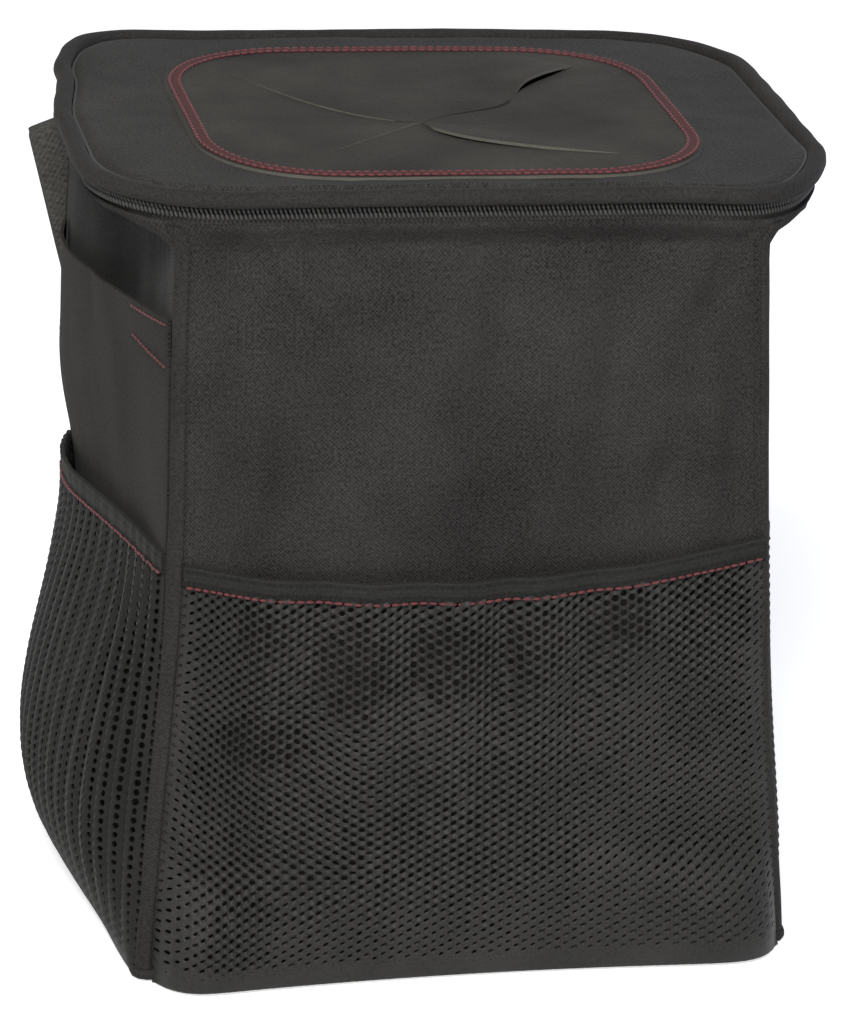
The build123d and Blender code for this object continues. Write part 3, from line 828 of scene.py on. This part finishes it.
for side, about in (("left", slipPocket), ("right", rightSlip)):
    def place(u, v):
        z = about["foot"] + (hemLine(about, u) - about["foot"]) * v
        fold = 0.5 * smooth(0.86, 0.9, v)      # turned hem is double
        return pocketSpot(side, about, u, z, 1.2 + fold + max(slipSag(u, z), -0.3))

    slip = newGrid(side + "Slip", 90, 80, place, (165.0, 100.0))
    inward = -1.0 if side == "right" else 1.0       # the left grid is laid out the other way round
    thicken(slip, 1.1, inward)
    # the slips wear the darker copy of the body cloth, painted shade
    dress(slip, sideCloth, "bin", [side + "_slip_pocket"])
    for k, (drop, reach, fall) in enumerate(((1.8, 0.22, 0.0), (15.0, 0.22, 4.0))):
        spots = []
        for i in range(61):
            u = 0.004 + reach * i / 60
            z = hemLine(about, u) - drop + fall * i / 60
            spots.append(pocketSpot(side, about, u, z, 1.85 + max(slipSag(u, z), -0.3)))
        row = stitchRow(f"{side}SlipStitches{k}", spots, 2.4, 0.5, 0.8)
        dress(row, redThread, "bin", (), 80)
print("slip pockets made")


# zip: tapes, teeth and the roll above them
zipSize = {"pitch": 1.42, "tapeOut": -1.75, "lower": (247.6, 253.0), "upper": (253.3, 257.4)}
for name, node, (low, high), body in (("zipTapeLower", "zip_tape_lower", zipSize["lower"], "bin"),
                                      ("zipTapeUpper", "zip_tape_upper", zipSize["upper"], "lid")):
    middle = upward * (low + high) / 2
    row = [(spot + middle, out, upward) for spot, out in rimPath(zipSize["tapeOut"], 420)]
    tape = sweep(name, row, roundSection(0.6, high - low, 6, 12), 690.0, 2 * (high - low))
    dress(tape, zipCloth, body, [node])


def toothRow(name, centre, tall, shift, lean, body, node):
    bpy.ops.mesh.primitive_uv_sphere_add(segments=8, ring_count=6, radius=1)
    tooth = bpy.context.object
    tooth.name = name
    editAll()
    bpy.ops.transform.resize(value=(0.54 * mm, 0.95 * mm, tall / 2 * mm), center_override=(0, 0, 0))
    bpy.ops.transform.rotate(value=lean, orient_axis="Y", center_override=(0, 0, 0))
    bpy.ops.transform.translate(value=((0.6 + shift) * mm, 0, 0))
    bpy.ops.object.mode_set(mode="OBJECT")
    spots = [(spot.x, spot.y, centre) for spot, out in rimPath(-0.25, 700)]
    along(tooth, spots, zipSize["pitch"])
    dress(tooth, zipNylon, body, [node], 80)


toothRow("zipTeethLower", 252.35, 2.5, 0.0, 0.32, "bin", "zip_coil_lower")
toothRow("zipTeethUpper", 254.25, 2.5, zipSize["pitch"] / 2, 0.32, "lid", "zip_coil_upper")
print("zip made")

# slider and its pull, parked on the right
sliderAt = Vector((0, 30.0, 253.0))
sliderBlocks = [  # low corner, size, rounding
    ((112.2, -5.0, -2.9), (1.2, 10.0, 5.8), 0.5), ((117.1, -5.0, -2.9), (1.2, 10.0, 5.8), 0.5),
    ((112.8, -1.5, -0.3), (4.9, 3.0, 0.6), 0.1), ((114.6, -3.55, -4.2), (3.7, 7.1, 0.8), 0.25),
    ((117.1, -3.55, -4.2), (1.2, 7.1, 2.7), 0.25),
    ((118.2, -3.0, -0.8), (3.5, 0.9, 1.6), 0.25), ((118.2, 2.1, -0.8), (3.5, 0.9, 1.6), 0.25),
    ((120.8, -3.0, -0.8), (0.9, 6.0, 1.6), 0.25),
]
pullBlocks = [
    ((118.95, -0.6, -2.8), (1.2, 1.2, 5.6), 0.35),
    ((118.95, -5.2, -2.8), (1.2, 5.0, 1.55), 0.35), ((118.95, -5.2, 1.25), (1.2, 5.0, 1.55), 0.35),
    ((118.95, -20.6, -2.8), (1.2, 15.8, 5.6), 0.5),
]


def blockPiece(name, blocks, body, node):
    made = []
    for low, size, soft in blocks:
        middle = Vector(low) + Vector(size) / 2 + sliderAt
        bpy.ops.mesh.primitive_cube_add(size=1)
        block = bpy.context.object
        editAll()
        bpy.ops.transform.resize(value=[c * mm for c in size], center_override=(0, 0, 0))
        bpy.ops.transform.translate(value=middle * mm)
        bpy.ops.object.mode_set(mode="OBJECT")
        modify(block, "BEVEL", width=soft * mm, segments=3)
        made.append(block)
    pick(*made)
    bpy.ops.object.join()
    piece = bpy.context.object
    piece.name = name
    clean(piece, 0.000002)
    return dress(piece, zipMetal, body, [node], 40)


blockPiece("zipSlider", sliderBlocks, "slider", "zip_slider")
blockPiece("zipPull", pullBlocks, "pull", "zip_pull")

rollRow = []
for i, (spot, out) in enumerate(rimPath(1.0, 480, False)):
    swell = 0.2 * ripple(i, 0, 91, 9) + 0.12 * math.sin(i * 0.55)
    lift = 259.6 - 1.5 * smooth(10, -70, spot.y) + 0.3 * ripple(i, 3, 92, 40)
    rollRow.append((spot + upward * lift + out * swell, out, upward))
roll = sweep("lidRoll", rollRow, roundSection(6.0, 5.2, 2.4, 20), 760.0, 18.0, True)
dress(roll, bindingCloth, "lid", ["lid_edge_roll"], 60)


# lid top, round the throat
patch = {"wide": 162.0, "deep": 148.0, "corner": 44.0, "forward": 6.0, "lap": 7.0,
         "low": 260.8, "thick": 1.0}


def patchRing(inset):
    spots = ring(patch["wide"] - 2 * inset, patch["deep"] - 2 * inset, patch["corner"] - inset)
    return spots - np.array((0, patch["forward"]))


def ringTo(inner, outer, u, v):
    i = u * (len(inner) - 1)
    a = int(min(i, len(inner) - 2))
    t = i - a
    p = inner[a] * (1 - t) + inner[a + 1] * t
    q = outer[a] * (1 - t) + outer[a + 1] * t
    return p * (1 - v) + q * v


def lidSheet(name, low, thick, wave, edgeDrop, node, material):
    inner, outer = patchRing(patch["lap"]), rimRing(-2.2)

    def place(u, v):
        x, y = ringTo(inner, outer, u, v)
        edge = smooth(0.90, 1.0, v)
        rise = wave * (ripple(x, y, 95, 30) + 0.5 * ripple(x, y, 96, 11)) * smooth(1.0, 0.9, v)
        return Vector((x, y, low + thick + rise - edgeDrop * edge ** 2))

    sheet = newGrid(name, 320, 34, place, (700.0, 40.0))
    clean(sheet)
    layer = sheet.data.uv_layers.active
    for loop in sheet.data.loops:          # flat cloth, so the weave runs straight over it
        spot = sheet.data.vertices[loop.vertex_index].co
        layer.data[loop.index].uv = (spot.x, spot.y)
    thicken(sheet, thick)
    return dress(sheet, material, "lid", [node])


lidSheet("lidTop", 259.7, 1.1, 0.5, 2.0, "lid_top_panel", lidCloth)
lidSheet("lidBoard", 257.5, 1.8, 0.0, 0.0, "lid_board", boardPlain)
lidSheet("lidLining", 256.4, 0.8, 0.15, 0.0, "lid_lining", linerFilm)


# push-through patch with crossed slits whose lips stand a little apart
# each slit: its end from the crossing, bow to one side and whether that comes early,
# rise of its two lips, where it gapes most and how far
slits = [
    {"end": Vector((57.0, -36.6, 0)), "bow": 10.0, "early": False,
     "up": (0.95, -0.3), "peak": 0.45, "gape": 0.3},
    {"end": Vector((63.6, 65.0, 0)), "bow": 8.5, "early": True,
     "up": (1.5, -0.6), "peak": 1.9, "gape": 0.35},
    {"end": Vector((-53.0, 61.0, 0)), "bow": -9.0, "early": False,
     "up": (-0.12, 0.28), "peak": 0.8, "gape": 0.2},
    {"end": Vector((-39.6, -35.0, 0)), "bow": 0.0, "early": False,
     "up": (-0.1, 0.4), "peak": 0.3, "gape": 0.3},
]
crossing = Vector((-6.0, -21.0, 0))


def makePatch():
    edge = patchRing(0)
    # rays that run out along the slits, in order round the outline
    ends = []
    for slit in slits:
        way = slit["end"].normalized()
        spokes = [Vector((p[0] - crossing.x, p[1] - crossing.y, 0)) for p in edge[:-1]]
        angles = [spoke.normalized().dot(way) for spoke in spokes]
        ends.append(int(np.argmax(angles)))
    order = sorted(range(4), key=lambda k: ends[k])
    rays, perFlap = [], 40
    for k in range(4):
        a, b = ends[order[k]], ends[order[(k + 1) % 4]]
        b = b if b > a else b + len(edge) - 1
        rays += [(a + (b - a) * i / perFlap) % (len(edge) - 1) for i in range(perFlap)]
    count = len(rays)
    rings = 44

    def place(u, v):
        k = round(u * count) % count
        i = rays[k]
        a, t = int(i), i - int(i)
        p = edge[a] * (1 - t) + edge[a + 1] * t
        spot = crossing + (Vector((p[0], p[1], 0)) - crossing) * (v ** 0.8)
        # rays bow sideways so that the slits curve
        aside, reach = 0.0, min(v ** 0.8 / 0.8, 1)
        for j in range(4):
            slit = slits[order[j]]
            far = abs((k - j * perFlap + count / 2) % count - count / 2) / perFlap
            bend = hump(reach, 0.40, 0.21) if slit["early"] else math.sin(math.pi * reach ** 0.7)
            aside += math.cos(math.pi / 2 * min(far, 1)) ** 2 * slit["bow"] * bend
        way = (Vector((p[0], p[1], 0)) - crossing).normalized()
        spot += Vector((way.y, -way.x, 0)) * aside
        return Vector((spot.x, spot.y, patch["low"] + patch["thick"]))

    piece = newGrid("lidPatch", count, rings, place, (500.0, 80.0))
    clean(piece)
    lines = [[place(j * perFlap / count, i / rings) for i in range(rings + 1)] for j in range(4)]
    return piece, lines, order


patchPiece, slitLines, order = makePatch()


def cutPatch(piece):
    # splits the sheet along the slits and gives back the points of each
    mesh = bmesh.new()
    mesh.from_mesh(piece.data)
    cutEdges, lips = [], {}
    for j, line in enumerate(slitLines):
        reach = slits[order[j]]["end"].length
        inside = [spot for spot in line if (spot - line[0]).length < reach]
        chain = [min(mesh.verts, key=lambda p: (p.co - spot * mm).length) for spot in inside]
        cutEdges += [mesh.edges.get((a, b)) for a, b in zip(chain, chain[1:])]
        lips[j] = [p.co.copy() for p in chain]
    bmesh.ops.split_edges(mesh, edges=[e for e in cutEdges if e])
    mesh.to_mesh(piece.data)
    mesh.free()
    return lips


lips = cutPatch(patchPiece)


def bendFlaps(piece):
    mesh = piece.data
    centres = {}
    for face in mesh.polygons:
        for index in face.vertices:
            centres.setdefault(index, []).append(face.center)
    moves = {}
    for vertex in mesh.vertices:
        near, best = None, 1.0
        for j, chain in lips.items():
            for k, spot in enumerate(chain):
                gap = ((vertex.co - spot).xy).length
                if gap < best:
                    ahead, behind = chain[min(k + 1, len(chain) - 1)], chain[max(k - 1, 0)]
                    best, near = gap, (j, k / (len(chain) - 1), spot, ahead - behind)
        j, reach, spot, way = near
        middle = sum(centres[vertex.index], Vector()) / len(centres[vertex.index])
        side = 1 if way.x * (middle.y - spot.y) - way.y * (middle.x - spot.x) > 0 else -1
        openness = math.sin(math.pi * min(max(reach, 0.0), 1.0) ** slits[order[j]]["peak"]) ** 0.7
        fall = math.exp(-(best / (9 * mm)) ** 2)
        slit = slits[order[j]]
        if slit["early"]:                       # stays shut next to the crossing
            openness *= smooth(0.38, 0.62, reach)
        rise = slit["up"][0 if side > 0 else 1]
        off = Vector((-way.y, way.x, 0)).normalized() * side
        aside = slit["gape"] * openness * math.exp(-(best / (2 * mm)) ** 2)
        moves[vertex.index] = (Vector((0, 0, rise * openness * fall)) + off * aside) * mm
    for index, move in moves.items():
        mesh.vertices[index].co += move


bendFlaps(patchPiece)
for vertex in patchPiece.data.vertices:
    x, y = vertex.co.x / mm, vertex.co.y / mm
    vertex.co.z += 0.25 * ripple(x, y, 97, 28) * mm
for material in (membraneSheet, cutEdge):
    patchPiece.data.materials.append(material)
modify(patchPiece, "SOLIDIFY", thickness=patch["thick"] * mm, offset=-1.0, material_offset_rim=1)
clean(patchPiece, 0.000001)
dress(patchPiece, membraneSheet, "lid", ["lid_membrane"], 40)


def patchPath(inset, z, n=500):
    spots = patchRing(inset)
    run = runAlong(spots)
    found = []
    for i in range(n):
        spot = ringSpot(spots, run, run[-1] * i / n)
        found.append((spot.x, spot.y, z + 0.25 * ripple(spot.x, spot.y, 97, 28)))
    return found


trimRow = []
inner = patchPath(3.3, 261.92)
for i, spot in enumerate(inner):
    way = Vector(inner[(i + 1) % len(inner)]) - Vector(inner[i - 1])
    trimRow.append((Vector(spot), outOf(way), upward))
trim = sweep("maroonTrim", trimRow, roundSection(3.2, 0.5, 4, 10), 560.0, 8.0, True)
dress(trim, maroonBand, "lid", ["membrane_trim"])
for k, inset in enumerate((1.7, 4.9)):
    row = stitchRow(f"patchStitches{k}", patchPath(inset, 262.05), 2.3, 0.55, 0.95, True, 0.12)
    dress(row, redThread, "lid", (), 80)
print("lid made")


# liner inside, one soft skin from the floor up to the rim
linerSize = {"grow": -4.4, "floor": 4.5, "top": 245.6}


def linerPlace(u, v):
    if v < 0.25:
        spots, run, cuts = wallRow(8.0, linerSize["grow"])
        edgeSpot = ringSpot(spots, run, u * run[-1])
        share = v / 0.25
        x, y = edgeSpot.x * share, edgeSpot.y * share
        return Vector((x, y, linerSize["floor"] + 0.9 * (0.5 + ripple(x, y, 101, 26)) * (1 - share ** 4)))
    z = linerSize["floor"] + (linerSize["top"] - linerSize["floor"]) * (v - 0.25) / 0.75
    spots, run, cuts = wallRow(max(z, 8.0), linerSize["grow"])
    s = u * run[-1]
    crease = 1.1 * max(ripple(s, z * 0.5, 102, 22), 0) + 0.5 * max(ripple(s, z, 103, 9), 0)
    spot = wallSpot(max(z, 8.0), s, -crease * smooth(5, 25, z) * smooth(246, 236, z), linerSize["grow"])[0]
    return Vector((spot.x, spot.y, z))


liner = newGrid("linerSkin", 260, 130, linerPlace, (680.0, 330.0))
clean(liner)
dress(liner, linerFilm, "bin", ["liner"])
thicken(liner, 0.6)
bindRow = [(spot + upward * 246.3, out, upward) for spot, out in rimPath(-3.35, 300, False)]
binding = sweep("rimBinding", bindRow, roundSection(2.0, 1.2, 3, 10), 720.0, 6.0, True)
dress(binding, bindingCloth, "bin", ["rim_binding"])
print("liner made")


# cloth hinge along the back
def hingePlace(u, v):
    x = -73 + 146 * u
    profile = [(88.75, 245.5), (88.75, 248.2), (89.6, 250.4), (90.8, 253.2), (91.4, 255.5)]
    i = min(v * 4, 3.999)
    a, t = int(i), i - int(i)
    y = profile[a][0] * (1 - t) + profile[a + 1][0] * t
    z = profile[a][1] * (1 - t) + profile[a + 1][1] * t
    return Vector((x, y + 0.15 * ripple(x, z, 111, 8), z))


hinge = newGrid("hingeCloth", 120, 24, hingePlace, (146.0, 11.0))
thicken(hinge, 0.9, 0.0)
dress(hinge, bodyCloth, None, ["hinge_strip"])
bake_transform(hinge)


# hanging strap: sewn leg, fold over, then the loose loop with its twist
strapSize = {"wide": 25.0, "thick": 1.5, "lean": 19.0, "fold": Vector((-105.0, 90.5, 231.0)),
             "foldRound": 1.8, "leg": 104.0, "sewn": 24.0, "step": 8.0, "loopDrop": 143.0, "level": 15.0,
             "lowY": 102.5}


def strapStations():
    lean = math.radians(strapSize["lean"])
    rise = Vector((-math.sin(lean), 0, math.cos(lean)))
    level = Vector((math.cos(lean), 0, math.sin(lean)))
    fold = strapSize["fold"]
    half = []
    sewnTop = strapSize["leg"] - strapSize["sewn"]
    for run, away in ((strapSize["leg"], 0), (sewnTop, 0), (sewnTop - strapSize["step"], 2.4)):
        low = fold - rise * run
        wallY = taper(bodySize["base"][1], bodySize["shoulder"][1], low.z) / 2 + 1.0 + away
        half.append((Vector((low.x, wallY, low.z)), level))
    for step in range(9):
        turn = math.radians(22.5 * step)
        over = Vector((0, 1 - math.cos(turn), 0)) + rise * math.sin(turn)
        half.append((fold + over * strapSize["foldRound"], level))
    shape = [(0.10, 0.58, 0.203, 12.0), (0.2556, 0.83, 0.469, 38.0), (0.4778, 0.96, 0.727, 66.0),
             (0.7222, 1.0, 0.909, 84.0), (1.0, 1.0, 1.0, 90.0)]
    span = Vector((-fold.x - strapSize["level"], strapSize["lowY"] - fold.y, -strapSize["loopDrop"]))
    points = [fold + span * Vector((a, b, c)) for a, b, c, twist in shape]
    points.append(Vector((0, strapSize["lowY"], fold.z - strapSize["loopDrop"])))
    turns = [s[3] for s in shape] + [90.0]
    for i, point in enumerate(points):
        before = points[i - 1] if i else fold
        after = points[min(i + 1, len(points) - 1)]
        travel = (after - before).normalized()
        flatWay = (level - travel * level.dot(travel)).normalized()
        angle = math.radians(turns[i])
        half.append((point, flatWay * math.cos(angle) + travel.cross(flatWay) * math.sin(angle)))
    return half


def spread(half):
    # finer stations, eased through the loop and straight elsewhere
    fine = []
    for i in range(len(half) - 1):
        (p, a), (q, b) = half[i], half[i + 1]
        n = max(int((q - p).length / 2.0), 1)
        before = half[max(i - 1, 0)][0]
        after = half[min(i + 2, len(half) - 1)][0]
        for k in range(n):
            t = k / n
            if i >= 12:
                m0, m1 = (q - before) / 2, (after - p) / 2
                ease = 3 * t ** 2 - 2 * t ** 3
                spot = p * (1 - ease) + q * ease + m0 * (t ** 3 - 2 * t ** 2 + t) + m1 * (t ** 3 - t ** 2)
            else:
                spot = p.lerp(q, t)
            fine.append((spot, a.lerp(b, t).normalized()))
    fine.append(half[-1])
    return fine


halfStrap = spread(strapStations())
fullStrap = list(halfStrap)
for spot, across in reversed(halfStrap[:-1]):
    turned = Vector((-across.x, across.y, across.z))
    if turned.dot(fullStrap[-1][1]) < 0:
        turned = -turned
    fullStrap.append((Vector((-spot.x, spot.y, spot.z)), turned))
strapRow = []
for i, (spot, across) in enumerate(fullStrap):
    travel = (fullStrap[min(i + 1, len(fullStrap) - 1)][0] - fullStrap[max(i - 1, 0)][0]).normalized()
    across = (across - travel * across.dot(travel)).normalized()
    strapRow.append((spot, travel.cross(across).normalized(), across))
strapLength = sum((b[0] - a[0]).length for a, b in zip(fullStrap, fullStrap[1:]))
strapSection = roundSection(strapSize["thick"], strapSize["wide"], 8, 24)
strap = sweep("hangingStrap", strapRow, strapSection, strapLength, 52.0)
dress(strap, webbingCloth, "bin", ["strap"], 60)
print("strap made,", round(strapLength), "mm long")


# nodes kept from the frame only need their finish
kept = {"base_board": boardPlain, "strap_slide": slidePlastic}
for name, material in kept.items():
    node = bpy.data.objects[name]
    node.data.materials.clear()
    node.data.materials.append(material)


# camera at the photo's angle
view = {"turn": -11.14, "lift": 20.65, "roll": 1.5, "away": 1.64603,
        "aim": Vector((0.00166, 0, 0.12241)), "lens": 5000 * 36 / 1024}
az, el, tip = (math.radians(view[key]) for key in ("turn", "lift", "roll"))
backward = Vector((math.sin(az) * math.cos(el), -math.cos(az) * math.cos(el), math.sin(el)))
rightward = (-backward).cross(upward).normalized()
above = rightward.cross(-backward)
rolledRight = rightward * math.cos(tip) + above * math.sin(tip)
rolledUp = above * math.cos(tip) - rightward * math.sin(tip)
lensData = bpy.data.cameras.new("photoCamera")
lensData.sensor_fit = "VERTICAL"
lensData.sensor_height = 36
lensData.lens = view["lens"]
camera = bpy.data.objects.new("photoCamera", lensData)
bpy.context.collection.objects.link(camera)
turned = Matrix((rolledRight, rolledUp, backward)).transposed().to_4x4()
turned.translation = view["aim"] + backward * view["away"]
camera.matrix_world = turned
bpy.context.scene.camera = camera


# pale floor and soft studio light
def seenPlainly(tree):
    # 1 where the camera sees it, straight, mirrored or through something clear
    rays = tree.nodes.new("ShaderNodeLightPath")
    seen = mathNode(tree, "MAXIMUM", rays.outputs["Is Camera Ray"], rays.outputs["Is Glossy Ray"])
    return mathNode(tree, "MAXIMUM", seen, rays.outputs["Is Transmission Ray"])


bpy.ops.mesh.primitive_plane_add(size=14, location=(0, 0, -0.0002))
floor = bpy.context.object
floor.name = "studioFloor"
floorPaint = bpy.data.materials.new("floorPaint")
floorPaint.use_nodes = True
tree = floorPaint.node_tree
paint = tree.nodes["Principled BSDF"]
paint.inputs["Base Color"].default_value = (0.8, 0.8, 0.8, 1)
paint.inputs["Roughness"].default_value = 0.9
paint.inputs["Specular IOR Level"].default_value = 0.0
paint.inputs["Emission Color"].default_value = (1, 1, 1, 1)
glow = mathNode(tree, "MULTIPLY", seenPlainly(tree), 0.68)
tree.links.new(glow, paint.inputs["Emission Strength"])
floor.data.materials.append(floorPaint)


def softBox(name, spot, aim, size, watts, tint=(1, 1, 1)):
    data = bpy.data.lights.new(name, "AREA")
    data.shape = "RECTANGLE"
    data.size, data.size_y = size
    data.energy = watts
    data.color = tint
    lamp = bpy.data.objects.new(name, data)
    bpy.context.collection.objects.link(lamp)
    lamp.location = spot
    lamp.rotation_euler = (Vector(spot) - Vector(aim)).to_track_quat("Z", "Y").to_euler()


softBox("keyBox", (-0.55, -1.65, 1.75), (0, 0, 0.14), (0.7, 0.7), 56)
softBox("coolBox", (1.5, 0.5, 0.9), (0.05, 0, 0.25), (0.6, 0.6), 5.0, (0.45, 0.5, 1.0))
softBox("frontBox", (0.6, -2.0, 0.6), (0, 0, 0.1), (1.2, 1.2), 5)
world = bpy.context.scene.world or bpy.data.worlds.new("studioWorld")
bpy.context.scene.world = world
world.use_nodes = True
tree = world.node_tree
sky = tree.nodes["Background"]
sky.inputs["Color"].default_value = (1, 1, 1, 1)
seen = seenPlainly(tree)
tree.links.new(mathNode(tree, "MULTIPLY_ADD", seen, 0.85, 0.15), sky.inputs["Strength"])
bpy.context.scene.view_settings.view_transform = "Standard"
print("camera and light set")
